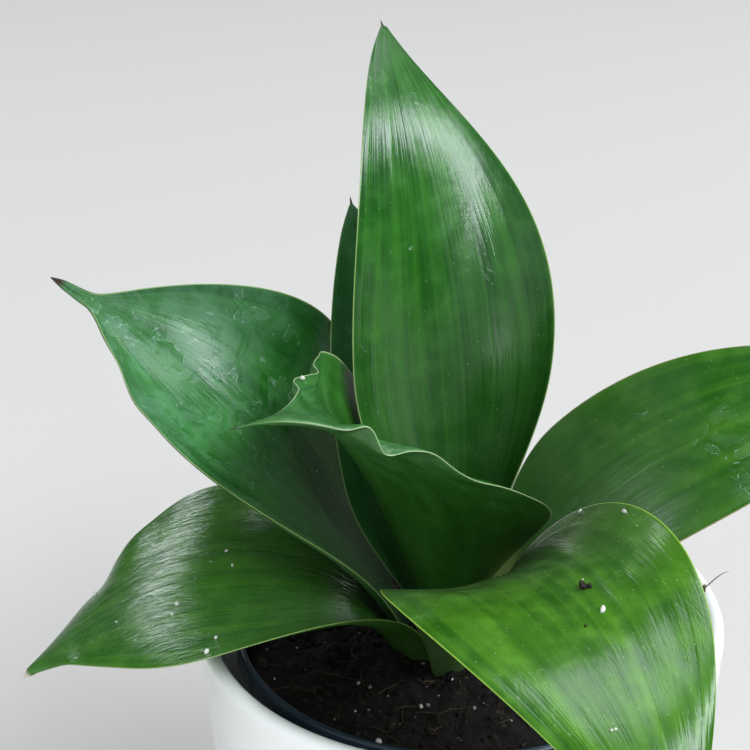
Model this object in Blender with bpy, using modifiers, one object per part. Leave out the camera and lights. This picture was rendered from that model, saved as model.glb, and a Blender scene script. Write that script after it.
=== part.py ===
"""A bird's-nest snake plant in its nursery pot, standing in a white cover pot.

Metres, +Z up. The origin is the middle of the cover pot's flat underside, and the
viewer's side of the plant is -Y. Every leaf is a surface carried along a curved spine
and then thickened, and the pots and the soil are turned profiles.
"""
from math import comb, cos, pi, radians, sin, tan

import bmesh
import bpy
import numpy as np

# ---------------------------------------------------------------- driving dimensions
GAP = 0.0003                # between pieces that touch

COVER_RADIUS = 0.070        # outside, at the lip
COVER_HEIGHT = 0.115
COVER_WALL = 0.0043
COVER_FLOOR = 0.006
COVER_DRAFT = radians(3.0)  # the wall leans out by this much
COVER_FOOT_ROUND = 0.006    # outer bottom corner
COVER_INNER_ROUND = 0.005   # inner bottom corner

NURSERY_RIM_DROP = 0.004    # the nursery pot's rim sits this far below the cover pot's lip
NURSERY_RIM_OUTER = 0.0603
NURSERY_RIM_INNER = 0.0581
NURSERY_SKIRT = 0.006       # height of the turned-down rim
NURSERY_WALL = 0.0011
NURSERY_FLOOR = 0.0014
NURSERY_BASE_RADIUS = 0.0475
DRAIN_HOLES = 6
DRAIN_HOLE_RADIUS = 0.0045
DRAIN_RING_RADIUS = 0.030
DRAIN_PIN_LENGTH = 4 * NURSERY_FLOOR  # the cutting pins stick out of the floor on both sides

SOIL_DROP = 0.0105          # soil surface below the cover pot's lip
SOIL_MOUND = 0.0015         # extra height of the soil around the crown
SOIL_MOUND_RADIUS = 0.036
SOIL_MOUND_FALL = 0.3       # share of that height that is lost by the mound's radius
CROWN_RADIUS = 0.0185       # the short stem that all the leaves grow from
CROWN_HEIGHT = 0.013
CROWN_ROUND = 0.0025
PIT_FLARE = 0.0055          # the soil opens out by this much around the leaf bases

LEAF_ROOT_DROP = 0.022      # the leaves start this far below the cover pot's lip
LEAF_ROOT_CLEAR = 0.0010    # the crown's top is this far below the spines' first points
LEAF_MIDDLE = 0.0024        # thickness along the middle of a leaf
LEAF_MARGIN = 0.0010        # thickness at its margins
LEAF_TIP_HALF_WIDTH = 0.0007
SPINE_STEPS = 300           # the spine is added up in this many short steps
LENGTH_CELLS = 23
WIDTH_CELLS = 8             # an even number, so that one row of points lies on the spine

TURN_STEPS = 48
PIN_STEPS = 16
CROWN_STEPS = 32
ROUND_STEPS = 4             # points in a rounded corner

# Each leaf, from the innermost outwards. Angles are in whole degrees.
#   root          distance of the base from the crown's axis, and the compass angle of that
#                 place (0 is +X, 90 is +Y)
#   heading, rise the way that the spine points, over the ground and above it, and
#   roll          its turn about itself: four values from base to tip, blended smoothly
#   base, widest  width at the base as a share of the full width, and where it is widest
#   taper         how sharply the width falls off to the tip (below 1 is blunt)
#   cup_*, edge_* how far each half curls up around the spine, evenly over the half, and
#                 only near its margin: three values from base to tip
#   droop         where the leaf starts to arch back, as a share of its length, and by how
#                 much it has arched at the tip; only the tall leaf does
LEAVES = {
    "leaf_tall": dict(
        root=(0.0045, 80), length=0.183, width=0.062, base=0.07, widest=0.48, taper=1.0,
        heading=(99, 88, 136, 102), rise=(89, 77, 72, 72), roll=(5, -40, 17, 13),
        cup_left=(103, 38, -5), cup_right=(119, 85, -14),
        edge_left=(-2, 0, 5), edge_right=(11, 20, -24), droop=(0.47, 41)),
    "leaf_folded": dict(
        root=(0.0075, 215), length=0.149, width=0.079, base=0.13, widest=0.52, taper=2.7,
        heading=(225, 253, 242, 227), rise=(92, 60, 55, 5), roll=(-4, -11, -21, 13),
        cup_left=(127, 15, 3), cup_right=(95, 70, 43),
        edge_left=(10, -35, -6), edge_right=(-1, 30, 20)),
    "leaf_back": dict(
        root=(0.0085, 111), length=0.131, width=0.049, base=0.20, widest=0.43, taper=0.9,
        heading=(128, 117, 124, 117), rise=(81, 69, 63, 59), roll=(-4, -10, 1, -3),
        cup_left=(36, 28, 15), cup_right=(70, 38, 14),
        edge_left=(-5, -1, 0), edge_right=(0, 0, 0)),
    "leaf_right": dict(
        root=(0.0100, 13), length=0.153, width=0.058, base=0.24, widest=0.39, taper=0.8,
        heading=(8, 7, 13, 20), rise=(80, 39, 15, -7), roll=(4, 8, 24, 32),
        cup_left=(41, 20, 10), cup_right=(42, 7, -8),
        edge_left=(-1, 0, 2), edge_right=(-2, -8, -5)),
    "leaf_upper_left": dict(
        root=(0.0100, 168), length=0.151, width=0.085, base=0.12, widest=0.52, taper=1.7,
        heading=(176, 188, 154, 161), rise=(70, 51, 54, 14), roll=(-3, 13, -22, -47),
        cup_left=(26, 34, 74), cup_right=(10, 21, 86),
        edge_left=(-1, 2, 11), edge_right=(-18, -11, 15)),
    "leaf_lower_left": dict(
        root=(0.0135, 199), length=0.125, width=0.079, base=0.22, widest=0.55, taper=1.3,
        heading=(205, 195, 170, 214), rise=(81, 25, -26, -29), roll=(6, -5, -17, 14),
        cup_left=(61, 41, -20), cup_right=(28, 35, -29),
        edge_left=(7, 10, -8), edge_right=(-2, 5, -14)),
    "leaf_front": dict(
        root=(0.0150, 264), length=0.176, width=0.064, base=0.19, widest=0.49, taper=1.2,
        heading=(284, 284, 292, 284), rise=(83, 48, -6, -59), roll=(7, 13, 7, -18),
        cup_left=(74, 34, -22), cup_right=(64, 19, -23),
        edge_left=(-3, 5, 1), edge_right=(-8, -5, -2)),
}

# colour, roughness, metallic
FINISHES = {
    "cover_glaze": ((0.86, 0.86, 0.84), 0.18, 0.0),
    "nursery_plastic": ((0.020, 0.030, 0.045), 0.35, 0.0),
    "potting_soil": ((0.014, 0.011, 0.009), 0.95, 0.0),
    "crown_tissue": ((0.32, 0.36, 0.12), 0.60, 0.0),
    "leaf_green": ((0.022, 0.130, 0.020), 0.28, 0.0),
}


# ---------------------------------------------------------------- scene helpers
def clear_scene():
    """Take away whatever the file opened with."""
    for thing in list(bpy.data.objects):
        bpy.data.objects.remove(thing, do_unlink=True)


def new_collection(name):
    group = bpy.data.collections.new(name)
    bpy.context.scene.collection.children.link(group)
    return group


def finish(name):
    """A Principled material of its own for one piece."""
    colour, roughness, metallic = FINISHES[name]
    material = bpy.data.materials.new(name)
    material.use_nodes = True
    shader = material.node_tree.nodes["Principled BSDF"]
    shader.inputs["Base Color"].default_value = (*colour, 1.0)
    shader.inputs["Roughness"].default_value = roughness
    shader.inputs["Metallic"].default_value = metallic
    return material


def add_piece(name, mesh, finish_name, group):
    piece = bpy.data.objects.new(name, mesh)
    mesh.materials.append(finish(finish_name))
    group.objects.link(piece)
    return piece


# ---------------------------------------------------------------- turned pieces
def corner(centre, radius, start, end):
    """Points on a round corner, from one angle to another (degrees, 0 is outwards, 90 is up)."""
    angles = [radians(start + (end - start) * i / ROUND_STEPS) for i in range(ROUND_STEPS + 1)]
    return [(centre[0] + radius * cos(a), centre[1] + radius * sin(a)) for a in angles]


def turned(name, outline, finish_name, group):
    """Turn an outline of (radius, height) points about the Z axis.

    It starts on the axis, runs out and up the inside, over the rim, down the outside and
    back to the axis underneath.
    """
    mesh = bpy.data.meshes.new(name)
    points = [(radius, 0.0, height) for radius, height in outline]
    edges = [(i, i + 1) for i in range(len(points) - 1)]
    mesh.from_pydata(points, edges, [])
    piece = add_piece(name, mesh, finish_name, group)
    turn = piece.modifiers.new("Turn", 'SCREW')
    turn.axis = 'Z'
    turn.steps = TURN_STEPS
    turn.render_steps = TURN_STEPS
    turn.use_merge_vertices = True
    turn.merge_threshold = 0.00005
    turn.use_smooth_shade = True
    return piece


def cover_inner_radius(height):
    """The inside of the cover pot's wall, which leans out with the draft."""
    lip_inner = COVER_RADIUS - COVER_WALL
    return lip_inner - (COVER_HEIGHT - height) * tan(COVER_DRAFT)


def make_cover_pot(group):
    """A slip-cast cylinder that widens a little upwards, with a soft round lip."""
    lip = COVER_WALL / 2
    lip_centre = (COVER_RADIUS - lip, COVER_HEIGHT - lip)
    foot_radius = COVER_RADIUS - COVER_HEIGHT * tan(COVER_DRAFT)
    inner = cover_inner_radius(COVER_FLOOR)
    inner_round = (inner - COVER_INNER_ROUND, COVER_FLOOR + COVER_INNER_ROUND)
    foot_round = (foot_radius - COVER_FOOT_ROUND, COVER_FOOT_ROUND)
    outline = [(0.0, COVER_FLOOR)]
    outline += corner(inner_round, COVER_INNER_ROUND, -90, 0)
    outline += corner(lip_centre, lip, 180, 90)[:-1]
    outline += corner(lip_centre, lip, 90, 0)
    outline += corner(foot_round, COVER_FOOT_ROUND, 0, -90)
    outline += [(0.0, 0.0)]
    return turned("cover_pot", outline, "cover_glaze", group)


NURSERY_TOP = COVER_HEIGHT - NURSERY_RIM_DROP
NURSERY_BOTTOM = COVER_FLOOR + GAP
NURSERY_FLOOR_TOP = NURSERY_BOTTOM + NURSERY_FLOOR


def nursery_inner_radius(height):
    """The inside of the nursery pot's tapered wall."""
    share = (height - NURSERY_FLOOR_TOP) / (NURSERY_TOP - NURSERY_FLOOR_TOP)
    base = NURSERY_BASE_RADIUS - NURSERY_WALL
    return base + (NURSERY_RIM_INNER - base) * share


def make_drain_cutters(group):
    """One cutter holding a ring of upright pins, each longer than the floor is thick."""
    shape = bmesh.new()
    for i in range(DRAIN_HOLES):
        angle = 2 * pi * i / DRAIN_HOLES
        pin = bmesh.ops.create_cone(
            shape, cap_ends=True, segments=PIN_STEPS, depth=DRAIN_PIN_LENGTH,
            radius1=DRAIN_HOLE_RADIUS, radius2=DRAIN_HOLE_RADIUS)
        place = (DRAIN_RING_RADIUS * cos(angle), DRAIN_RING_RADIUS * sin(angle), NURSERY_BOTTOM)
        bmesh.ops.translate(shape, verts=pin["verts"], vec=place)
    mesh = bpy.data.meshes.new("drain_cutters")
    shape.to_mesh(mesh)
    shape.free()
    cutter = bpy.data.objects.new("drain_cutters", mesh)
    cutter.hide_render = True
    cutter.display_type = 'WIRE'
    group.objects.link(cutter)
    return cutter


def make_nursery_pot(group, cutters):
    """The thin tapered pot the plant was sold in, with a turned-down rim and drain holes."""
    rim = (NURSERY_RIM_OUTER - NURSERY_RIM_INNER) / 2
    rim_centre = (NURSERY_RIM_INNER + rim, NURSERY_TOP - rim)
    skirt_bottom = NURSERY_TOP - NURSERY_SKIRT
    outline = [(0.0, NURSERY_FLOOR_TOP)]
    outline += [(nursery_inner_radius(NURSERY_FLOOR_TOP), NURSERY_FLOOR_TOP)]
    outline += corner(rim_centre, rim, 180, 90)[:-1]
    outline += corner(rim_centre, rim, 90, 0)
    outline += [(NURSERY_RIM_OUTER, skirt_bottom)]
    outline += [(nursery_inner_radius(skirt_bottom) + NURSERY_WALL, skirt_bottom)]
    outline += [(NURSERY_BASE_RADIUS, NURSERY_BOTTOM)]
    outline += [(0.0, NURSERY_BOTTOM)]
    pot = turned("nursery_pot", outline, "nursery_plastic", group)
    cut = pot.modifiers.new("Drain holes", 'BOOLEAN')
    cut.operation = 'DIFFERENCE'
    cut.solver = 'EXACT'
    cut.object = make_drain_cutters(cutters)
    return pot


# ---------------------------------------------------------------- soil and crown
CROWN_TOP = COVER_HEIGHT - LEAF_ROOT_DROP - LEAF_ROOT_CLEAR
CROWN_BOTTOM = CROWN_TOP - CROWN_HEIGHT


def make_soil(group):
    """The soil fills the nursery pot, mounds up a little, and leaves a pit for the crown."""
    edge_top = COVER_HEIGHT - SOIL_DROP
    mound_top = edge_top + SOIL_MOUND
    pit_bottom = CROWN_BOTTOM - GAP
    pit_radius = CROWN_RADIUS + GAP
    soil_floor = NURSERY_FLOOR_TOP + GAP
    outline = [
        (0.0, pit_bottom),
        (pit_radius, pit_bottom),
        (pit_radius, CROWN_TOP),
        (pit_radius + PIT_FLARE, mound_top),
        (SOIL_MOUND_RADIUS, mound_top - SOIL_MOUND_FALL * SOIL_MOUND),
        (nursery_inner_radius(edge_top) - GAP, edge_top),
        (nursery_inner_radius(soil_floor) - GAP, soil_floor),
        (0.0, soil_floor)]
    return turned("soil", outline, "potting_soil", group)


def make_crown(group):
    """The short thick stem under the rosette, a stub with a softened edge."""
    shape = bmesh.new()
    bmesh.ops.create_cone(
        shape, cap_ends=True, segments=CROWN_STEPS, depth=CROWN_HEIGHT,
        radius1=CROWN_RADIUS, radius2=CROWN_RADIUS)
    bmesh.ops.translate(shape, verts=shape.verts, vec=(0, 0, (CROWN_TOP + CROWN_BOTTOM) / 2))
    mesh = bpy.data.meshes.new("crown")
    shape.to_mesh(mesh)
    shape.free()
    mesh.shade_smooth()
    crown = add_piece("crown", mesh, "crown_tissue", group)
    bevel = crown.modifiers.new("Soft edge", 'BEVEL')
    bevel.width = CROWN_ROUND
    bevel.segments = 2
    bevel.limit_method = 'ANGLE'
    return crown


# ---------------------------------------------------------------- leaves
def blend(values, along):
    """A Bernstein curve: starts at the first value, ends at the last, drawn to the others."""
    order = len(values) - 1
    shares = [comb(order, i) * along**i * (1 - along)**(order - i) for i in range(order + 1)]
    return sum(share * value for share, value in zip(shares, values))


def half_width(leaf, along):
    """A quarter sine squared from the base to the widest place, then a cosine power to the tip."""
    widest = leaf["width"] / 2
    base = leaf["base"] * widest
    before = np.sin(pi / 2 * np.clip(along / leaf["widest"], 0, 1))**2
    after = np.clip((along - leaf["widest"]) / (1 - leaf["widest"]), 0, 1)
    swelling = base + (widest - base) * before
    narrowing = widest * np.cos(pi / 2 * after)**leaf["taper"]
    outline = np.where(along < leaf["widest"], swelling, narrowing)
    return np.maximum(outline, LEAF_TIP_HALF_WIDTH)


def spine(leaf, along):
    """Places on the spine, with the directions across the leaf and out of its upper face.

    The spine steps along the direction that heading and rise give, and droop lowers rise
    by the square of the share covered past its start. The level direction across it, and
    the one square to both, are then turned by roll.
    """
    fine = np.linspace(0, 1, SPINE_STEPS + 1)
    heading = np.radians(blend(leaf["heading"], fine))
    droop_start, droop_angle = leaf.get("droop", (0.0, 0.0))
    drooping = np.clip((fine - droop_start) / (1 - droop_start), 0, 1) ** 2
    rise = np.radians(blend(leaf["rise"], fine) - droop_angle * drooping)
    roll = np.radians(blend(leaf["roll"], fine))[:, None]
    forward = np.stack([np.cos(rise) * np.cos(heading), np.cos(rise) * np.sin(heading), np.sin(rise)], 1)
    level = np.stack([-np.sin(heading), np.cos(heading), np.zeros_like(heading)], 1)
    across = level * np.cos(roll) + np.cross(forward, level) * np.sin(roll)
    upper = np.cross(forward, across)
    steps = (forward[1:] + forward[:-1]) / 2 * leaf["length"] / SPINE_STEPS
    distance, angle = leaf["root"][0], radians(leaf["root"][1])
    start = [distance * cos(angle), distance * sin(angle), COVER_HEIGHT - LEAF_ROOT_DROP]
    place = np.concatenate([np.zeros((1, 3)), np.cumsum(steps, 0)]) + start
    return [np.stack([np.interp(along, fine, part[:, k]) for k in range(3)], 1)
            for part in (place, across, upper)]


def leaf_surface(leaf):
    """Points of the leaf's middle surface, as rows along it of columns across it.

    From the spine outwards, each half bends by an angle that grows with the share of the
    half width covered (cup) and with its cube (edge). Adding up its cosine and sine gives
    how far a point lies across the leaf and above it.
    """
    along = np.linspace(0, 1, LENGTH_CELLS + 1)
    place, across, upper = spine(leaf, along)
    width = half_width(leaf, along)[:, None]
    cells = WIDTH_CELLS // 2
    share = np.linspace(0, 1, cells + 1)[None, :]
    middle = (share[:, 1:] + share[:, :-1]) / 2
    halves = []
    for side, name in ((1, "left"), (-1, "right")):
        cup = np.radians(blend(leaf["cup_" + name], along))[:, None]
        edge = np.radians(blend(leaf["edge_" + name], along))[:, None]
        bend = cup * middle + edge * middle**3
        start = np.zeros((len(along), 1))
        out = np.concatenate([start, np.cumsum(np.cos(bend), 1)], 1) * width / cells
        lift = np.concatenate([start, np.cumsum(np.sin(bend), 1)], 1) * width / cells
        points = place[:, None] + side * out[..., None] * across[:, None] + lift[..., None] * upper[:, None]
        halves.append(points)
    left, right = halves
    return np.concatenate([right[:, :0:-1], left], 1)


def make_leaf(name, leaf, group):
    """A flat grid laid on the leaf's surface and thickened, most along the middle."""
    shape = bmesh.new()
    bmesh.ops.create_grid(shape, x_segments=WIDTH_CELLS, y_segments=LENGTH_CELLS, size=1.0)
    mesh = bpy.data.meshes.new(name)
    shape.to_mesh(mesh)
    shape.free()
    flat = np.empty(len(mesh.vertices) * 3)
    mesh.vertices.foreach_get("co", flat)
    flat = flat.reshape(-1, 3)
    column = np.rint((flat[:, 0] + 1) / 2 * WIDTH_CELLS).astype(int)
    row = np.rint((flat[:, 1] + 1) / 2 * LENGTH_CELLS).astype(int)
    mesh.vertices.foreach_set("co", leaf_surface(leaf)[row, column].ravel())
    mesh.shade_smooth()
    piece = add_piece(name, mesh, "leaf_green", group)
    thickness = piece.vertex_groups.new(name="thickness")
    bulge = LEAF_MARGIN / LEAF_MIDDLE + (1 - LEAF_MARGIN / LEAF_MIDDLE) * (1 - flat[:, 0]**2)
    for index, share in enumerate(bulge):
        thickness.add([index], float(share), 'REPLACE')
    wall = piece.modifiers.new("Thickness", 'SOLIDIFY')
    wall.thickness = LEAF_MIDDLE
    wall.offset = 0.0
    wall.vertex_group = thickness.name
    return piece


def main():
    clear_scene()
    plant = new_collection("potted_snake_plant")
    cutters = new_collection("cutters")
    make_cover_pot(plant)
    make_nursery_pot(plant, cutters)
    make_soil(plant)
    make_crown(plant)
    for name, leaf in LEAVES.items():
        make_leaf(name, leaf, plant)


main()
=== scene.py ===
# %% [markdown]
# # A bird's-nest snake plant in a white pot
#
# The plant is a short, dark green snake plant with seven broad leaves. It still stands in
# the thin dark pot that it was sold in, and that pot stands in a white glazed one.
#
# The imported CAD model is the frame: it says where every piece is and how big it is. This
# file builds the finished look around it. All lengths are in metres, +Z is up, the origin
# is the middle of the white pot's underside, and the viewer stands on the -Y side.

# %% Load the frame
from functools import reduce
from math import comb, radians

import bpy
import numpy as np
from mathutils import Euler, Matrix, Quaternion, Vector


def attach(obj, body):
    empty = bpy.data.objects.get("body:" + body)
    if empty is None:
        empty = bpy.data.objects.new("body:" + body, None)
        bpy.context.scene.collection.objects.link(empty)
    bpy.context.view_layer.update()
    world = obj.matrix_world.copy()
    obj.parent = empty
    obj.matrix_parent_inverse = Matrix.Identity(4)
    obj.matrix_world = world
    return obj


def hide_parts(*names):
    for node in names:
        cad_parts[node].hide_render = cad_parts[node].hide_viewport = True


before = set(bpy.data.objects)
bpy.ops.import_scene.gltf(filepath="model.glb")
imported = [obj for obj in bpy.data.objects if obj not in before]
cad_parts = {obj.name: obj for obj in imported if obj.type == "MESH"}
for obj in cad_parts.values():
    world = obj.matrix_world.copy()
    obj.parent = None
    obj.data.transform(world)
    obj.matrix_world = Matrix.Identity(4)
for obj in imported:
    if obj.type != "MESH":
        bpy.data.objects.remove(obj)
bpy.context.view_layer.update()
print("CAD nodes:", sorted(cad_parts))

# %% [markdown]
# ## From a grid of points to a mesh
#
# Every new piece starts as a function of two parameters, worked out as one numpy array.
# A loop of points that goes once round a cross-section, repeated along a path, covers
# leaves and fibres. A profile turned about the Z axis covers pots and soil. Both only
# need a rule that joins neighbouring points of the grid into four-sided faces.


# %% Mesh helpers
def add_piece(name, points, faces, replaces=()):
    """A smooth mesh object at the origin from an array of points and a list of faces, riding on the body."""
    mesh = bpy.data.meshes.new(name)
    mesh.from_pydata(points.reshape(-1, 3).tolist(), [], faces)
    mesh.validate()
    mesh.update()
    mesh.polygons.foreach_set("use_smooth", np.full(len(mesh.polygons), True))
    piece = bpy.data.objects.new(name, mesh)
    bpy.context.scene.collection.objects.link(piece)
    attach(piece, "root")
    if replaces:
        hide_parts(*replaces)
    return piece


def grid_faces(rows, columns):
    """Four-sided faces between neighbouring rows and columns; the last column joins the first."""
    row, column = np.meshgrid(np.arange(rows - 1), np.arange(columns), indexing="ij")
    beside = (column + 1) % columns
    corners = (row * columns + column, (row + 1) * columns + column,
               (row + 1) * columns + beside, row * columns + beside)
    return np.stack(corners, -1).reshape(-1, 4).tolist()


def tube_faces(rows, columns, turned=False):
    """A tube: the grid's faces and one more over each end. turned makes all of them face the other way."""
    faces = grid_faces(rows, columns)
    faces += [list(range(columns)), list(range(rows * columns - 1, (rows - 1) * columns - 1, -1))]
    return [face[::-1] for face in faces] if turned else faces


def pole_faces(rows, columns):
    """A closed round shape: the grid's faces, and fans to two poles, which are the last two points."""
    column = np.arange(columns)
    beside, last = (column + 1) % columns, (rows - 1) * columns
    pole = np.full_like(column, rows * columns)
    first_fan = np.stack([pole, column, beside], -1)
    last_fan = np.stack([pole + 1, last + beside, last + column], -1)
    return grid_faces(rows, columns) + first_fan.tolist() + last_fan.tolist()


def repeat_faces(faces, points_each, count):
    """The faces of one shape for each of its copies: all its four-sided ones, then its three-sided ones."""
    shift = (np.arange(count) * points_each)[:, None, None]
    repeated = []
    for sides in sorted({len(face) for face in faces}, reverse=True):
        block = np.array([face for face in faces if len(face) == sides]) + shift
        repeated += block.reshape(-1, sides).tolist()
    return repeated


def add_attribute(piece, name, values):
    """Three numbers stored at every point, for the materials to read."""
    attribute = piece.data.attributes.new(name, "FLOAT_VECTOR", "POINT")
    attribute.data.foreach_set("vector", np.ascontiguousarray(values, np.float32).ravel())


def rolling_noise(points, size, seed):
    """Smooth bumps between -1 and 1, about one size wide.

    A random number sits at every corner of a cubic lattice. Inside a cube, the eight
    corners are averaged with shares that follow the smooth step 3t^2 - 2t^3.
    """
    table = np.random.default_rng(seed).uniform(-1, 1, (32, 32, 32))
    cell = np.asarray(points) / size
    low = np.floor(cell).astype(int)
    part = cell - low
    part = part * part * (3 - 2 * part)
    total = 0
    for corner in np.ndindex(2, 2, 2):
        share = np.prod(np.where(corner, part, 1 - part), axis=-1)
        index = (low + np.array(corner)) % 32
        total = total + share * table[index[..., 0], index[..., 1], index[..., 2]]
    return total


def hump(value, middle, spread):
    """A smooth bump of height 1: e to the minus squared distance from the middle, in spreads."""
    return np.exp(-((value - middle) / spread) ** 2)


# %% [markdown]
# ## The shape of a leaf
#
# A leaf of this plant is a stiff, fleshy strap. It grows from the crown as a channel,
# opens and widens, and ends in a dry point. It could be sculpted by hand, but seven
# sculpted leaves are hard to adjust. Here each one is a flat strip that is carried along
# a curved spine and curled about it, so a few angles say everything: which way the spine
# points, how the strip is turned about it, and how strongly each half curls up.
#
# The same formula made the CAD leaves, so the fine leaves lie inside them. This version
# adds what the CAD leaves lack: rounded thin margins, the awl-shaped tip, and waves.

# %% Leaf dimensions
LEAF_MIDDLE = 0.0024      # thickness along the middle
LEAF_BASE_EXTRA = 0.0007  # the fleshy base is this much thicker
LEAF_MARGIN = 0.0009      # thickness near the margins
AWL_RADIUS = 0.00065      # the dry point at the tip
ROOT_HEIGHT = 0.093       # all spines start here, below the soil's surface
SPINE_STEPS = 300

# Angles are in degrees. heading, rise: where the spine points, over the ground and above
# it; roll: its turn about itself; cup_*, edge_*: how far each half curls, evenly and
# only near its margin. Values run from base to tip and blend smoothly. droop: where the
# leaf starts to arch back, and by how much it has done so at the tip.
LEAVES = {
    "leaf_tall": dict(
        root=(0.0045, 80), length=0.183, width=0.062, base=0.07, widest=0.48, taper=1.0,
        heading=(99, 88, 136, 102), rise=(89, 77, 72, 72), roll=(5, -40, 17, 13),
        cup_left=(103, 38, -5), cup_right=(119, 85, -14),
        edge_left=(-2, 0, 5), edge_right=(11, 20, -24), droop=(0.47, 41)),
    "leaf_folded": dict(
        root=(0.0075, 215), length=0.149, width=0.079, base=0.13, widest=0.52, taper=2.7,
        heading=(225, 253, 242, 227), rise=(92, 60, 55, 5), roll=(-4, -11, -21, 13),
        cup_left=(127, 15, 3), cup_right=(95, 70, 43),
        edge_left=(10, -35, -6), edge_right=(-1, 30, 20)),
    "leaf_back": dict(
        root=(0.0085, 111), length=0.131, width=0.049, base=0.20, widest=0.43, taper=0.9,
        heading=(128, 117, 124, 117), rise=(81, 69, 63, 59), roll=(-4, -10, 1, -3),
        cup_left=(36, 28, 15), cup_right=(70, 38, 14),
        edge_left=(-5, -1, 0), edge_right=(0, 0, 0)),
    "leaf_right": dict(
        root=(0.0100, 13), length=0.153, width=0.058, base=0.24, widest=0.39, taper=0.8,
        heading=(8, 7, 13, 20), rise=(80, 39, 15, -7), roll=(4, 8, 24, 32),
        cup_left=(41, 20, 10), cup_right=(42, 7, -8),
        edge_left=(-1, 0, 2), edge_right=(-2, -8, -5)),
    "leaf_upper_left": dict(
        root=(0.0100, 168), length=0.151, width=0.085, base=0.12, widest=0.52, taper=1.7,
        heading=(176, 188, 154, 161), rise=(70, 51, 54, 14), roll=(-3, 13, -22, -47),
        cup_left=(26, 34, 74), cup_right=(10, 21, 86),
        edge_left=(-1, 2, 11), edge_right=(-18, -11, 15)),
    "leaf_lower_left": dict(
        root=(0.0135, 199), length=0.125, width=0.079, base=0.22, widest=0.55, taper=1.3,
        heading=(205, 195, 170, 214), rise=(81, 25, -26, -29), roll=(6, -5, -17, 14),
        cup_left=(61, 41, -20), cup_right=(28, 35, -29),
        edge_left=(7, 10, -8), edge_right=(-2, 5, -14)),
    "leaf_front": dict(
        root=(0.0150, 264), length=0.176, width=0.064, base=0.19, widest=0.49, taper=1.2,
        heading=(284, 284, 292, 284), rise=(83, 48, -6, -59), roll=(7, 13, 7, -18),
        cup_left=(74, 34, -22), cup_right=(64, 19, -23),
        edge_left=(-3, 5, 1), edge_right=(-8, -5, -2)),
}

# Some tips are a long stiff awl: where the green blade ends, a new taper for it, the
# awl's radius where it leaves the blade, and how many degrees it turns up.
AWLS = {
    "leaf_upper_left": (0.925, 1.12, 0.0017, 9),
    "leaf_back": (0.985, 0.88, 0.0007, 10),
    "leaf_tall": (0.990, 0.97, 0.0006, 0),
}
AWL_LENGTH = 0.08         # share of the leaf's length over which an awl narrows
for name, awl in AWLS.items():
    LEAVES[name]["awl"] = awl

# Waves that lift the leaf along its own normal: height, place along the leaf and
# across it (-1 and 1 are the margins), and how far each reaches.
WAVES = {
    "leaf_folded": [
        (0.0022, 0.792, 0.016, 1.0, 0.30), (-0.0024, 0.762, 0.016, 1.0, 0.34), (0.0013, 0.715, 0.022, 1.0, 0.30),
        (-0.0010, 0.66, 0.03, 1.0, 0.30),
        (0.0022, 0.725, 0.017, -1.0, 0.30), (-0.0022, 0.765, 0.017, -1.0, 0.30), (-0.0012, 0.62, 0.025, -1.0, 0.30)],
    "leaf_lower_left": [
        (0.0010, 0.905, 0.03, 1.0, 0.5), (-0.0012, 0.80, 0.03, -1.0, 0.3), (0.0008, 0.72, 0.035, -1.0, 0.35)],
    "leaf_front": [
        (0.0011, 0.515, 0.035, -0.62, 0.13), (0.0009, 0.585, 0.04, -0.60, 0.12), (-0.0008, 0.44, 0.05, -0.35, 0.25)],
    "leaf_upper_left": [
        (0.0007, 0.80, 0.03, 0.85, 0.25), (-0.0007, 0.73, 0.03, 0.9, 0.22)],
}


# %% The leaf formula
def blend(values, share):
    """Blend a short list of values along 0 to 1 with Bernstein's binomial weights."""
    top = len(values) - 1
    return sum(comb(top, i) * share ** i * (1 - share) ** (top - i) * v for i, v in enumerate(values))


def leaf_half_width(leaf, along):
    """Half the leaf's width at each share of its length.

    It grows from the base with a squared sine, falls to the tip with a power of a cosine,
    and the awl's own radius is added under a square root, so the tip ends as a round rod.
    """
    end, taper, awl_base, _ = leaf.get("awl", (1.0, leaf["taper"], 0.0, 0))
    widest = leaf["width"] / 2
    base = widest * leaf["base"]
    rising = base + (widest - base) * np.sin(np.pi / 2 * np.clip(along / leaf["widest"], 0, 1)) ** 2
    rest = np.clip((along - leaf["widest"]) / (end - leaf["widest"]), 0, 1)
    falling = widest * np.cos(np.pi / 2 * rest).clip(0, 1) ** taper
    awl = AWL_RADIUS * np.sqrt(np.clip(1.0004 - along, 0, 1) * 6).clip(0, 1)
    awl = awl + awl_base * np.clip((1 - along) / AWL_LENGTH, 0, 1)
    return np.sqrt(np.where(along < leaf["widest"], rising, falling) ** 2 + awl ** 2)


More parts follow.
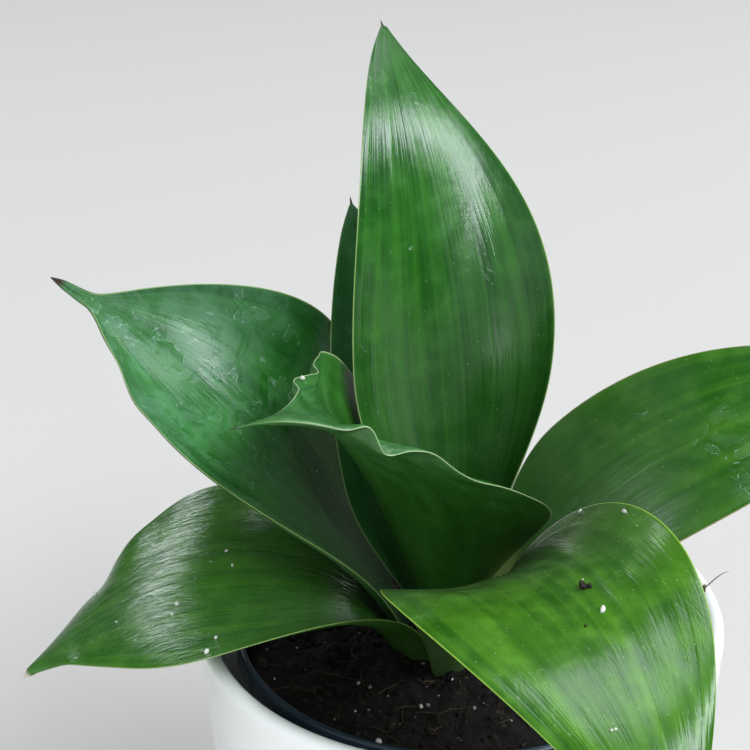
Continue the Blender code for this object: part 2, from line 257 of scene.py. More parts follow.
def leaf_frames(leaf, along):
    """Points of the spine with the leaf's sideways and upper directions.

    The direction forward has the blended heading and rise. Adding up many short steps
    forward gives the points, and the roll turns the sideways direction about it.
    """
    share = np.linspace(0, 1, SPINE_STEPS + 1)
    heading, rise, roll = (np.radians(blend(leaf[key], share)) for key in ("heading", "rise", "roll"))
    droop_start, droop_angle = leaf.get("droop", (0, 0))
    rise = rise - np.radians(droop_angle) * np.clip((share - droop_start) / (1 - droop_start), 0, 1) ** 2
    bend = leaf.get("awl", (0, 0, 0, 0))[3]
    rise = rise + np.radians(bend) * np.clip((share - 1 + AWL_LENGTH) / AWL_LENGTH * 3, 0, 1)
    forward = np.stack([np.cos(rise) * np.cos(heading), np.cos(rise) * np.sin(heading), np.sin(rise)], -1)
    level = np.stack([-np.sin(heading), np.cos(heading), 0 * heading], -1)
    across = level * np.cos(roll)[:, None] + np.cross(forward, level) * np.sin(roll)[:, None]
    upper = np.cross(forward, across)
    steps = (forward[1:] + forward[:-1]) / 2 * leaf["length"] / SPINE_STEPS
    distance, angle = leaf["root"]
    root = np.array([distance * np.cos(radians(angle)), distance * np.sin(radians(angle)), ROOT_HEIGHT])
    points = root + np.vstack([np.zeros(3), np.cumsum(steps, 0)])
    return [np.stack([np.interp(along, share, v[:, i]) for i in range(3)], -1) for v in (points, across, upper)]


def leaf_sheet(name, along, half):
    """The leaf's middle surface on a grid of along times across (-1 to 1).

    Walking out from the spine, the strip has turned by cup * a + edge * a^3 at the share
    a of its half width, so adding up the cosines and sines of that angle gives how far
    out and how far up each point lies.
    """
    leaf = LEAVES[name]
    points, across, upper = (v[:, None, :] for v in leaf_frames(leaf, along))
    width = leaf_half_width(leaf, along)[:, None]
    middle = (half[1:] + half[:-1]) / 2
    strip = np.diff(half) * width
    sides = []
    for side, cup, edge in ((1, "cup_left", "edge_left"), (-1, "cup_right", "edge_right")):
        angle = np.radians(blend(leaf[cup], along))[:, None] * middle
        angle = angle + np.radians(blend(leaf[edge], along))[:, None] * middle ** 3
        start = np.zeros((len(along), 1))
        out = np.hstack([start, np.cumsum(np.cos(angle) * strip, 1)])[..., None]
        lift = np.hstack([start, np.cumsum(np.sin(angle) * strip, 1)])[..., None]
        sides.append(points + side * out * across + lift * upper)
    return np.concatenate([sides[1][:, :0:-1], sides[0]], 1)


def surface_normals(surface):
    """The unit normal of a grid of points: the cross product of its two slopes."""
    normal = np.cross(np.gradient(surface, axis=0), np.gradient(surface, axis=1))
    return normal / np.linalg.norm(normal, axis=-1, keepdims=True)


# %% Build one leaf
LENGTH_ROWS = 260
HALF_COLUMNS = 40
TIP_CROWDING = 0.35       # how much closer the rows lie towards the tip
RIDGE, RIPPLE = (0.00010, 0.0042), (0.00045, 0.021)    # relief of the veins and of the flesh: height and size
leaf_tops = {}            # the upper face of every leaf, for what lies on it


def make_leaf(name):
    """A closed shell: the middle surface, pushed out by half the thickness to both faces.

    The thickness falls from the spine to the margins with the square of the distance, and
    ends at a margin as a quarter circle does, so the margin is a thin rounded edge.
    """
    leaf = LEAVES[name]
    seed = sorted(LEAVES).index(name)
    even = np.linspace(0, 1, LENGTH_ROWS)
    along = np.sin(np.linspace(0, np.pi / 2, LENGTH_ROWS)) * TIP_CROWDING + even * (1 - TIP_CROWDING)
    half = np.sin(np.linspace(0, np.pi / 2, HALF_COLUMNS + 1))
    side = np.concatenate([-half[:0:-1], half])
    surface = leaf_sheet(name, along, half)
    normal = surface_normals(surface)

    width = leaf_half_width(leaf, along)[:, None]
    place = np.stack(np.broadcast_arrays(side * width, along[:, None] * leaf["length"], seed * 0.31), -1)
    ridges = rolling_noise(place * [1, 0.06, 1] + [0, 0, 5], RIDGE[1], seed)
    ripple = rolling_noise(place + [0, 0, 9], RIPPLE[1], seed + 20)
    flat = np.clip(width / 0.012, 0, 1)
    lift = (RIDGE[0] * ridges + RIPPLE[0] * ripple) * flat * (1 - side ** 6)
    for height, at, spread, across_at, across_spread in WAVES.get(name, ()):
        lift = lift + height * hump(along, at, spread)[:, None] * hump(side, across_at, across_spread)
    surface = surface + lift[..., None] * normal
    normal = surface_normals(surface)

    body = LEAF_MIDDLE + LEAF_BASE_EXTRA * np.exp(-along / 0.15)[:, None] - LEAF_MARGIN
    thick = LEAF_MARGIN + body * (1 - side ** 2)
    thick = np.minimum(thick, 1.7 * width) * np.sqrt(1 - np.abs(side) ** 12)
    offset = thick[..., None] / 2 * normal
    leaf_tops[name] = along, side, surface + offset, normal
    ring = np.concatenate([surface + offset, (surface - offset)[:, -2:0:-1]], 1)

    rows, columns = ring.shape[:2]
    piece = add_piece(name + "_blade", ring, tube_faces(rows, columns), [name])

    across = np.concatenate([side, side[-2:0:-1]])
    under = np.concatenate([0 * side, 0 * side[-2:0:-1] + 1])
    add_attribute(piece, "blade", np.stack(np.broadcast_arrays(across, along[:, None], under), -1))
    add_attribute(piece, "skin", np.stack(np.broadcast_arrays(
        across * width, along[:, None] * leaf["length"], seed + under * 0.5), -1))
    print(f"{piece.name}: {len(piece.data.polygons)} faces")
    return piece


leaves = {name: make_leaf(name) for name in LEAVES}

# %% [markdown]
# ## The two pots
#
# The white pot is slip-cast and glazed: a thick wall, a soft round lip, and a wall that
# leans out a little. The dark pot inside is thin moulded plastic with a turned-down rim.
# Both are true turned shapes, so a profile carried round the axis is the exact way to
# make them. Many short facets and finely rounded corners let the gloss run smoothly.

# %% Turned profiles
TURN_FACETS = 256
ROUND_POINTS = 12


def round_corner(centre, radius, start, end):
    """Points on a round corner, from one angle to another (degrees, 0 is outwards, 90 is up)."""
    angle = np.radians(np.linspace(start, end, ROUND_POINTS))
    return np.stack([centre[0] + radius * np.cos(angle), centre[1] + radius * np.sin(angle)], -1)


def straight(start, end, count):
    """Points on a straight line between two (radius, height) places, both ends left out."""
    share = np.linspace(0, 1, count + 2)[1:-1, None]
    return np.array(start) * (1 - share) + np.array(end) * share


def turn_profile(name, profile, replaces, shape=None):
    """Turn (radius, height) points about the Z axis; the first and last lie on it and become single poles.

    shape may move the points: it gets the whole array and returns it.
    """
    angle = np.linspace(0, 2 * np.pi, TURN_FACETS, endpoint=False)
    radius, height = np.asarray(profile).T[:, 1:-1, None]
    points = np.stack(np.broadcast_arrays(radius * np.cos(angle), radius * np.sin(angle), height), -1)
    if shape:
        points = shape(points)
    poles = [[0, 0, points[0, :, 2].mean()], [0, 0, points[-1, :, 2].mean()]]
    faces = pole_faces(len(points), TURN_FACETS)
    piece = add_piece(name, np.vstack([points.reshape(-1, 3), poles]), faces, replaces)
    print(f"{name}: {len(piece.data.polygons)} faces")
    return piece


# %% The white glazed pot
COVER_RADIUS, COVER_HEIGHT, COVER_WALL, COVER_FLOOR = 0.070, 0.115, 0.0043, 0.006
COVER_LEAN = np.tan(radians(3))


def uneven_casting(points):
    """Slip-cast walls are never perfectly round: a slow wave of a few hundredths of a millimetre."""
    wave = rolling_noise(points, 0.05, 31) * 0.00012
    spread = np.linalg.norm(points[..., :2], axis=-1, keepdims=True)
    share = np.clip(points[..., 2:] / 0.02, 0, 1)
    return points + points * [1, 1, 0] / np.maximum(spread, 0.001) * wave[..., None] * share


def make_cover_pot():
    """Inside floor, inner corner, wall, round lip, outer wall, foot and the flat underside."""
    lip = COVER_WALL / 2
    inner = COVER_RADIUS - COVER_WALL - (COVER_HEIGHT - COVER_FLOOR) * COVER_LEAN
    foot = COVER_RADIUS - COVER_HEIGHT * COVER_LEAN
    inner_corner = round_corner((inner - 0.005, COVER_FLOOR + 0.005), 0.005, -90, 0)
    lip_curve = round_corner((COVER_RADIUS - lip, COVER_HEIGHT - lip), lip, 183, -3)
    foot_corner = round_corner((foot - 0.006, 0.006), 0.006, -3, -90)
    profile = np.vstack([
        [(0, COVER_FLOOR)], straight((0, COVER_FLOOR), inner_corner[0], 6),
        inner_corner, straight(inner_corner[-1], lip_curve[0], 24),
        lip_curve, straight(lip_curve[-1], foot_corner[0], 24),
        foot_corner, straight(foot_corner[-1], (0, 0), 6), [(0, 0)]])
    return turn_profile("cover_pot_glazed", profile, ["cover_pot"], uneven_casting)


cover_pot = make_cover_pot()

# %% The dark nursery pot
NURSERY_TOP, NURSERY_BOTTOM, NURSERY_FLOOR_TOP = 0.111, 0.0063, 0.0077
NURSERY_RIM_OUTER, NURSERY_RIM_INNER, NURSERY_BASE, NURSERY_WALL = 0.0603, 0.0581, 0.0475, 0.0011
DRAIN_RING, DRAIN_RADIUS, DRAIN_COUNT, PIN_FACETS = 0.030, 0.0045, 6, 24


def nursery_inner_radius(height):
    """The inside of the tapered wall, straight from its floor to its rim."""
    share = (height - NURSERY_FLOOR_TOP) / (NURSERY_TOP - NURSERY_FLOOR_TOP)
    base = NURSERY_BASE - NURSERY_WALL
    return base + (NURSERY_RIM_INNER - base) * share


def make_nursery_pot():
    """Inside floor, tapered wall, rolled rim, turned-down skirt, outer wall and underside."""
    rim = (NURSERY_RIM_OUTER - NURSERY_RIM_INNER) / 2
    rim_curve = round_corner((NURSERY_RIM_INNER + rim, NURSERY_TOP - rim), rim, 180, 0)
    skirt = NURSERY_TOP - 0.006
    floor_edge = (NURSERY_BASE - NURSERY_WALL, NURSERY_FLOOR_TOP)
    wall_top = (nursery_inner_radius(skirt) + NURSERY_WALL, skirt)
    profile = np.vstack([
        [(0, NURSERY_FLOOR_TOP)], straight((0, NURSERY_FLOOR_TOP), floor_edge, 6), [floor_edge],
        straight(floor_edge, rim_curve[0], 20), rim_curve,
        straight(rim_curve[-1], (NURSERY_RIM_OUTER, skirt), 3), [(NURSERY_RIM_OUTER, skirt)], [wall_top],
        straight(wall_top, (NURSERY_BASE, NURSERY_BOTTOM), 20), [(NURSERY_BASE, NURSERY_BOTTOM)],
        straight((NURSERY_BASE, NURSERY_BOTTOM), (0, NURSERY_BOTTOM), 6), [(0, NURSERY_BOTTOM)]])
    return turn_profile("nursery_pot_moulded", profile, ["nursery_pot"])


def cut_drain_holes(pot):
    """Take a ring of six pins out of the floor with a Boolean modifier, and keep the result."""
    angle = np.linspace(0, 2 * np.pi, PIN_FACETS, endpoint=False)
    circle = np.stack([DRAIN_RADIUS * np.cos(angle), DRAIN_RADIUS * np.sin(angle), 0 * angle], -1)
    ring = np.arange(DRAIN_COUNT) * 2 * np.pi / DRAIN_COUNT
    centres = np.stack([DRAIN_RING * np.cos(ring), DRAIN_RING * np.sin(ring), 0 * ring], -1)
    levels = np.array([0.004, 0.010])[:, None] * [0, 0, 1]
    points = centres[:, None, None] + levels[:, None] + circle
    one = tube_faces(2, PIN_FACETS, turned=True)
    faces = [[point + 2 * PIN_FACETS * pin for point in face] for pin in range(DRAIN_COUNT) for face in one]
    pins = bpy.data.meshes.new("drain_pins")
    pins.from_pydata(points.reshape(-1, 3).tolist(), [], faces)
    cutter = bpy.data.objects.new("drain_pins", pins)
    bpy.context.scene.collection.objects.link(cutter)
    cut = pot.modifiers.new("Drain holes", "BOOLEAN")
    cut.operation, cut.solver, cut.object = "DIFFERENCE", "EXACT", cutter
    evaluated = pot.evaluated_get(bpy.context.evaluated_depsgraph_get())
    pierced = bpy.data.meshes.new_from_object(evaluated)
    pot.modifiers.clear()
    pot.data = pierced
    bpy.data.objects.remove(cutter)
    print("drain holes cut:", len(pierced.polygons), "faces in the nursery pot")


nursery_pot = make_nursery_pot()
cut_drain_holes(nursery_pot)

# %% [markdown]
# ## Potting soil
#
# The soil is a dark peat mix. It is a crumbly surface rather than a smooth one, with
# fibres, lighter grains and a little grit lying loose on it. A displaced disc alone looks
# like melted chocolate, so the surface has three sizes of lumps, and many small crumbs
# lie on top. The crumbs are one blob repeated hundreds of times, each copy turned,
# stretched and dented in its own way.

# %% Soil surface
SOIL_EDGE, SOIL_MOUND, MOUND_RADIUS = 0.1045, 0.0015, 0.036
SOIL_BOTTOM = NURSERY_FLOOR_TOP + 0.0003
LUMPS = ((0.0015, 0.0085), (0.0011, 0.0034), (0.0006, 0.0014))    # height and size of each kind


def soil_height(x, y):
    """A low mound that falls away towards the pot's wall, plus lumps of three sizes."""
    spread = np.hypot(x, y)
    level = np.stack([x, y, 0 * x], -1)
    mound = SOIL_MOUND * np.clip((0.0575 - spread) / (0.0575 - MOUND_RADIUS), 0, 1)
    lumps = sum(height * rolling_noise(level, size, seed) for seed, (height, size) in enumerate(LUMPS, 1))
    return SOIL_EDGE - 0.0007 + mound + lumps


def make_soil():
    """The inside of the nursery pot turned as one profile, its top raised by the soil's height."""
    wall = [(nursery_inner_radius(h) - 0.0003, h) for h in np.linspace(SOIL_BOTTOM, SOIL_EDGE - 0.0022, 8)]
    top = [(r, SOIL_EDGE) for r in np.linspace(0, 1, 131) ** 0.85 * (nursery_inner_radius(SOIL_EDGE) - 0.0003)]
    profile = np.vstack([[(0, SOIL_EDGE)], top[1:], wall[::-1], [(0, SOIL_BOTTOM)]])

    def raise_top(points):
        level = soil_height(points[..., 0], points[..., 1])
        is_top = points[..., 2] > SOIL_EDGE - 0.0001
        points[..., 2] = np.where(is_top, level, points[..., 2])
        return points
    return turn_profile("soil_surface", profile, ["soil"], raise_top)


soil = make_soil()


# %% Crumbs and grit
def blob(rings=5, columns=7):
    """A small closed ball: rings of points between two poles."""
    tilt = np.linspace(0, np.pi, rings + 2)[1:-1, None]
    turn = np.linspace(0, 2 * np.pi, columns, endpoint=False)
    ball = np.stack(np.broadcast_arrays(np.sin(tilt) * np.cos(turn), np.sin(tilt) * np.sin(turn), np.cos(tilt)), -1)
    return np.vstack([ball.reshape(-1, 3), [[0, 0, 1], [0, 0, -1]]]), pole_faces(rings, columns)


def turned_axes(seed, count):
    """Random rotation matrices: the orthogonal part of a random square matrix."""
    matrices = np.linalg.qr(np.random.default_rng(seed).normal(size=(count, 3, 3)))[0]
    return matrices * np.sign(np.linalg.det(matrices))[:, None, None]


def scatter_blobs(name, places, sizes, stretch, seed):
    """One mesh of dented balls: each is squeezed, turned, sized and put in its place.

    stretch is the least share of its width that a squeezed ball keeps.
    """
    ball, faces = blob()
    random = np.random.default_rng(seed)
    count = len(places)
    dents = 1 + 0.45 * rolling_noise(ball[None] + random.uniform(0, 30, (count, 1, 3)), 0.9, seed)
    shape = ball[None] * dents[..., None] * random.uniform(stretch, 1, (count, 1, 3))
    points = np.einsum("nij,npj->npi", turned_axes(seed, count), shape) * sizes[:, None, None] + places[:, None]
    piece = add_piece(name, points, repeat_faces(faces, len(ball), count))
    add_attribute(piece, "own", np.repeat(random.uniform(0, 1, (count, 3)), len(ball), 0))
    print(f"{name}: {count} pieces, {len(piece.data.polygons)} faces")
    return piece


def places_on_soil(count, seed, sink, sizes):
    """Random places spread evenly over the soil's disc, sunk a little into its surface."""
    random = np.random.default_rng(seed)
    radius = np.sqrt(random.uniform(0.03, 1, count)) * 0.0550
    angle = random.uniform(0, 2 * np.pi, count)
    x, y = radius * np.cos(angle), radius * np.sin(angle)
    return np.stack([x, y, soil_height(x, y) - sink * sizes], -1)


GAMMA_SHAPE, SMALLEST_CRUMB = 2.2, 0.0002


def scatter_on_soil(name, count, scale, largest, sink, stretch, seed):
    """Blobs on the soil. Their sizes are gamma distributed: most are small and a few are much larger."""
    sizes = np.random.default_rng(seed).gamma(GAMMA_SHAPE, scale, count).clip(SMALLEST_CRUMB, largest)
    return scatter_blobs(name, places_on_soil(count, seed + 1, sink, sizes), sizes, stretch, seed + 2)


soil_crumbs = scatter_on_soil("soil_crumbs", 2600, 0.00024, 0.0020, 0.3, 0.55, 4)
soil_grit = scatter_on_soil("soil_grit", 90, 0.00021, 0.0013, -0.4, 0.7, 7)


# %% Peat fibres
THREAD_ROWS, TUBE_SIDES = 9, 4


def make_fibres(name, count, seed):
    """Short bent threads lying on the soil: a four-sided tube carried along each arc."""
    random = np.random.default_rng(seed)
    share = np.linspace(-1, 1, THREAD_ROWS)[None, :, None]
    radius = np.sqrt(random.uniform(0.05, 1, count)) * 0.053
    angle = random.uniform(0, 2 * np.pi, count)
    centre = np.stack([radius * np.cos(angle), radius * np.sin(angle)], -1)[:, None]
    turn = random.uniform(0, 2 * np.pi, count)
    ahead = np.stack([np.cos(turn), np.sin(turn)], -1)[:, None]
    sideways = np.stack([-np.sin(turn), np.cos(turn)], -1)[:, None]
    reach = random.gamma(3, 0.0011, (count, 1, 1)).clip(0.0012, 0.009)
    bend = random.uniform(-0.5, 0.5, (count, 1, 1))
    line = centre + ahead * share * reach + sideways * bend * share ** 2 * reach
    keep = np.minimum(1, 0.0555 / np.maximum(np.linalg.norm(line, axis=-1, keepdims=True), 1e-6))
    line = line * keep
    rise = soil_height(line[..., 0], line[..., 1]) + 0.0004 + 0.0011 * random.uniform(0, 1, (count, 1)) ** 2
    thick = random.uniform(0.00007, 0.00022, (count, 1, 1)) * (1.05 - share ** 4)
    around = np.arange(TUBE_SIDES)[None, None, :, None] * 2 * np.pi / TUBE_SIDES
    flat = line[:, :, None] + np.cos(around) * sideways[:, :, None] * thick[..., None]
    up = rise[:, :, None, None] + np.sin(around) * thick[..., None]
    faces = repeat_faces(tube_faces(THREAD_ROWS, TUBE_SIDES, turned=True), THREAD_ROWS * TUBE_SIDES, count)
    piece = add_piece(name, np.concatenate([flat, up], -1), faces)
    add_attribute(piece, "own", np.repeat(random.uniform(0, 1, (count, 3)), THREAD_ROWS * TUBE_SIDES, 0))
    print(f"{name}: {count} threads")
    return piece


peat_fibres = make_fibres("peat_fibres", 260, 11)


# %% [markdown]
# ### Loose bits on the leaves and the rim
#
# Watering and potting throw chips of perlite and crumbs of bark on the leaves, and a
# dry twig has caught on the white rim. The chips are the soil's blobs again, set on
# chosen places of the leaves' upper faces. They could be scattered at random, but a few
# large ones are easy to notice, so each has its own place.

# %% Bits lying on the leaves
# place along the leaf, place across it (-1 and 1 are the margins), and size
PALE_BITS = {
    "leaf_front": [
        (0.375, 0.95, 0.0007), (0.468, 0.93, 0.0008), (0.623, 0.25, 0.0008), (0.552, 0.28, 0.0006),
        (0.79, -0.30, 0.0005), (0.84, 0.05, 0.0006)],
    "leaf_lower_left": [
        (0.60, 0.90, 0.0010), (0.537, -0.32, 0.0008), (0.53, -0.15, 0.0006), (0.647, 0.18, 0.0007),
        (0.70, 0.42, 0.0005), (0.58, 0.72, 0.0005), (0.66, 0.30, 0.0004), (0.775, 0.20, 0.0004),
        (0.812, -0.80, 0.0007)],
    "leaf_folded": [(0.752, -0.97, 0.0007)],
}
DARK_BITS = {"leaf_front": [(0.566, 0.23, 0.0014), (0.572, 0.26, 0.0009), (0.642, 0.05, 0.0005)]}


def scatter_on_leaves(name, bits, stretch, seed):
    """Blobs on the points of the leaves' upper faces nearest to their places, raised by a third of their size."""
    places, sizes = [], []
    for leaf, rows in bits.items():
        along, side, top, normal = leaf_tops[leaf]
        for place_along, place_across, size in rows:
            row, column = np.abs(along - place_along).argmin(), np.abs(side - place_across).argmin()
            places.append(top[row, column] + normal[row, column] * size * 0.35)
            sizes.append(size)
    return scatter_blobs(name, np.array(places), np.array(sizes), stretch, seed)


pale_bits = scatter_on_leaves("leaf_bits_pale", PALE_BITS, 0.3, 21)
dark_bits = scatter_on_leaves("leaf_bits_dark", DARK_BITS, 0.5, 22)


# %% A bit of twig on the pot's lip
TWIG_ANGLE, TWIG_REACH, TWIG_RISE, TWIG_RADIUS = 3, 0.0085, 0.0040, 0.00016    # degrees, then metres
TWIG_ROWS, TWIG_SIDES = 14, 6


def make_twig():
    """A thin dry stem with its foot on the white lip: a six-sided tube along a rising curve.

    Along the stem the distance outwards grows evenly, and the height follows a sine.
    """
    share = np.linspace(0, 1, TWIG_ROWS)
    out = COVER_RADIUS - COVER_WALL / 2 - 0.0015 + TWIG_REACH * share
    turn = radians(TWIG_ANGLE) + 0.05 * share ** 2
    rise = COVER_HEIGHT + 0.0003 + TWIG_RISE * np.sin(2.2 * share)
    line = np.stack([out * np.cos(turn), out * np.sin(turn), rise], -1)
    ahead = np.gradient(line, axis=0)
    ahead /= np.linalg.norm(ahead, axis=1, keepdims=True)
    side = np.cross(ahead, [0, 0, 1.0])
    side /= np.linalg.norm(side, axis=1, keepdims=True)
    around = np.linspace(0, 2 * np.pi, TWIG_SIDES, endpoint=False)[None, :, None]
    thick = (TWIG_RADIUS * (1.1 - share ** 3))[:, None, None]
    ring = line[:, None] + thick * (np.cos(around) * side[:, None] + np.sin(around) * np.cross(side, ahead)[:, None])
    piece = add_piece("rim_twig", ring, tube_faces(TWIG_ROWS, TWIG_SIDES))
    add_attribute(piece, "own", np.full((TWIG_ROWS * TWIG_SIDES, 3), 0.45))
    print("rim_twig:", len(piece.data.polygons), "faces")
    return piece, line


rim_twig, twig_line = make_twig()
twig_buds = scatter_blobs("rim_twig_buds", twig_line[:2] + [0, 0, 0.0004], np.array([0.0011, 0.0008]), 0.7, 23)

# %% [markdown]
# ## Finishes
#
# A leaf of this plant is waxy. Its colour is a deep green with lengthwise streaks and
# cloudy lighter patches, a hair-thin pale margin and a dry brown point. Hard water has
# left faint rings, and dust and tiny scratches catch the light. None of these is a
# picture: each is worked out from the place on the leaf, so it works at any size.
#
# Effects that several finishes use are node groups: lengthwise streaks, cloudy patches,
# water rings, tide marks and specks. They are built once and get other values in each
# material. The groups give only masks, and each material mixes its own colours by them.


# %% Node helpers
class Nodes:
    """The nodes of one material or group. An input is a plain value or another node's output."""

    def __init__(self, tree):
        self.tree = tree

    def feed(self, socket, value):
        """Give a socket its value, or join it to another node's output."""
        if isinstance(value, bpy.types.NodeSocket):
            self.tree.links.new(value, socket)
        else:
            socket.default_value = value

    def put(self, kind, inputs=None, **settings):
        """One node; the settings are its own properties."""
        made = self.tree.nodes.new("ShaderNode" + kind)
        for key, value in settings.items():
            setattr(made, key, value)
        for key, value in (inputs or {}).items():
            self.feed(made.inputs[key], value)
        return made

    def group(self, tree, inputs):
        """The outputs of a node group that is placed here with its own values."""
        return self.put("Group", inputs, node_tree=tree).outputs

    def calc(self, operation, first, second=0.0, third=0.0, clamp=False):
        """One Math node."""
        return self.put("Math", {0: first, 1: second, 2: third}, operation=operation, use_clamp=clamp).outputs[0]

    def times(self, *values):
        """Values multiplied together."""
        return reduce(lambda one, two: self.calc("MULTIPLY", one, two), values)

    def plus(self, *values):
        """Values added up."""
        return reduce(lambda one, two: self.calc("ADD", one, two), values)

    def spread(self, value, low, high, to_low=0.0, to_high=1.0):
        """A smooth step: the value's range low to high becomes to_low to to_high."""
        inputs = {"Value": value, "From Min": low, "From Max": high, "To Min": to_low, "To Max": to_high}
        return self.put("MapRange", inputs, interpolation_type="SMOOTHSTEP").outputs["Result"]

    def stretched(self, vector, scale):
        """The vector with each of its parts multiplied."""
        return self.put("VectorMath", {0: vector, 1: scale}, operation="MULTIPLY").outputs[0]

    def moved(self, place, shift):
        """Two vectors added up."""
        return self.put("VectorMath", {0: place, 1: shift}, operation="ADD").outputs[0]

    def noise(self, place, scale, detail, result="Fac", **more):
        """A Noise Texture's grey values, or its colours."""
        return self.put("TexNoise", {"Vector": place, "Scale": scale, "Detail": detail, **more}).outputs[result]

    def warped(self, place, scale, reach):
        """The place moved by the three channels of a noise, each times its own reach."""
        return self.moved(self.stretched(self.noise(place, scale, 2.0, "Color"), reach), place)

    def cells(self, place, size):
        """The distance to the nearest of many random points, and that point's three random numbers."""
        scale = self.calc("DIVIDE", 1.0, size)
        cell = self.put("TexVoronoi", {"Vector": place, "Scale": scale, "Randomness": 1.0}).outputs
        return cell["Distance"], self.put("SeparateColor", {0: cell["Color"]}).outputs

    def paint(self, colour, *coats):
        """Coats of (share, colour) over a first colour, each mixed in by its share from 0 to 1."""
        for share, coat in coats:
            made = self.put("Mix", data_type="RGBA")
            sockets = {socket.identifier: socket for socket in made.inputs}
            self.feed(sockets["Factor_Float"], share)
            for key, value in (("A_Color", colour), ("B_Color", coat)):
                self.feed(sockets[key], (*value, 1.0) if isinstance(value, tuple) else value)
            colour = next(socket for socket in made.outputs if socket.identifier == "Result_Color")
        return colour

    def heights(self, *layers):
        """Layers of (value, depth in metres) added up."""
        total = 0.0
        for value, depth in layers:
            total = self.calc("MULTIPLY_ADD", value, depth, total)
        return total

    def finish(self, shader, colour, rough, height):
        """Join the colour, the roughness and a bump of the given height to the shader."""
        bump = self.put("Bump", {"Height": height, "Strength": 1.0, "Distance": 1.0}).outputs["Normal"]
        for key, value in (("Base Color", colour), ("Roughness", rough), ("Normal", bump)):
            self.feed(shader.inputs[key], value)


def new_group(name, inputs, outputs):
    """An empty node group. An input is a vector where its default is None, and else a number."""
    tree = bpy.data.node_groups.new(name, "ShaderNodeTree")
    for key, default in inputs.items():
        kind = "NodeSocketVector" if default is None else "NodeSocketFloat"
        socket = tree.interface.new_socket(key, in_out="INPUT", socket_type=kind)
        if default is not None:
            socket.default_value = default
    for key in outputs:
        tree.interface.new_socket(key, in_out="OUTPUT", socket_type="NodeSocketFloat")
    return Nodes(tree), tree.nodes.new("NodeGroupInput").outputs, tree.nodes.new("NodeGroupOutput").inputs


def new_material(name, constants):
    """A material, its nodes and its Principled shader, with the values that are the same all over."""
    material = bpy.data.materials.new(name)
    material.use_nodes = True
    shader = material.node_tree.nodes["Principled BSDF"]
    for key, value in constants.items():
        shader.inputs[key].default_value = value
    return material, Nodes(material.node_tree), shader


# %% Shared effect: streaks along a leaf
def build_streaks():
    """Noise on coordinates that are squeezed across the leaf and stretched along it.

    The place across runs from margin to margin, so the streaks draw together at the tip,
    as the leaf's own veins do.
    """
    n, given, out = new_group("lengthwise_streaks", {"Blade": None, "Across": 9.0, "Along": 1.3, "Seed": 0.0},
                              ["Broad", "Fine", "Hair"])
    parts = n.put("SeparateXYZ", {0: given["Blade"]}).outputs
    along = n.times(parts["Y"], given["Along"])
    for name, squeeze, extra in (("Broad", 1.0, 0.0), ("Fine", 4.0, 7.3), ("Hair", 15.0, 3.1)):
        across = n.times(parts["X"], given["Across"], squeeze)
        place = n.put("CombineXYZ", {0: across, 1: along, 2: n.plus(given["Seed"], extra)}).outputs[0]
        n.feed(out[name], n.noise(place, 1.0, 3.0, Distortion=0.25))
    return n.tree


streaks = build_streaks()


# %% Shared effect: cloudy patches
def build_clouds():
    """Two layers of noise, one warped by the other, for soft irregular patches."""
    n, given, out = new_group("cloudy_patches", {"Place": None, "Size": 0.006}, ["Cloud"])
    scale = n.calc("DIVIDE", 1.0, given["Size"])
    moved = n.warped(given["Place"], n.times(scale, 0.4), (0.006, 0.006, 0.006))
    n.feed(out["Cloud"], n.noise(moved, scale, 4.0))
    return n.tree


def cloudy(n, place, size):
    """Cloudy patches of one size, placed in a material."""
    return n.group(clouds, {"Place": place, "Size": size})["Cloud"]


clouds = build_clouds()


# %% Shared effect: dried water rings
def build_water_rings():
    """Thin rings where drops have dried.

    A Voronoi pattern gives the distance to the nearest random point. Where that distance
    is close to the drop's radius there is a ring, and noise breaks it and bends it.
    """
    n, given, out = new_group("water_rings", {"Place": None, "Size": 0.004, "Amount": 0.5}, ["Ring"])
    distance, own = n.cells(n.warped(given["Place"], 420.0, (0.0038, 0.0038, 0.0)), given["Size"])
    radius = n.spread(own[0], 0.0, 1.0, 0.12, 0.42)
    line = n.spread(n.calc("ABSOLUTE", n.calc("SUBTRACT", distance, radius)), 0.015, 0.075, 1.0, 0.0)
    gaps = n.spread(n.noise(given["Place"], 700.0, 2.0), 0.44, 0.60)
    least = n.calc("SUBTRACT", 0.72, n.times(given["Amount"], 0.4))
    shown = n.spread(n.noise(given["Place"], 55.0, 2.0), least, 0.75)
    n.feed(out["Ring"], n.times(line, gaps, shown, n.calc("LESS_THAN", own[1], given["Amount"])))
    return n.tree


water_rings = build_water_rings()


# %% Shared effect: tide marks
def build_tide_marks():
    """The edges and the thin film that a spread of hard water leaves.

    Noise is like a height map that is cut into steps. The film is the upper half of each
    step, and the edge is the contour line halfway up it, broken by a finer noise.
    """
    n, given, out = new_group("tide_marks", {"Place": None, "Size": 0.006, "Amount": 0.5, "Seed": 0.0},
                              ["Edge", "Film"])
    moved = n.moved(given["Place"], n.put("CombineXYZ", {2: given["Seed"]}).outputs[0])
    level = n.noise(moved, n.calc("DIVIDE", 1.0, given["Size"]), 3.5, Roughness=0.55, Distortion=0.7)
    steps = n.calc("FRACT", n.times(level, 4.5))
    edge = n.spread(n.calc("ABSOLUTE", n.calc("SUBTRACT", steps, 0.5)), 0.008, 0.055, 1.0, 0.0)
    gaps = n.spread(n.noise(moved, 420.0, 2.0), 0.42, 0.60)
    least = n.calc("SUBTRACT", 0.70, n.times(given["Amount"], 0.35))
    shown = n.spread(n.noise(moved, 48.0, 2.0), least, n.plus(least, 0.10))
    n.feed(out["Edge"], n.times(edge, gaps, shown))
    n.feed(out["Film"], n.times(n.spread(steps, 0.48, 0.54), shown))
    return n.tree


tide_marks = build_tide_marks()


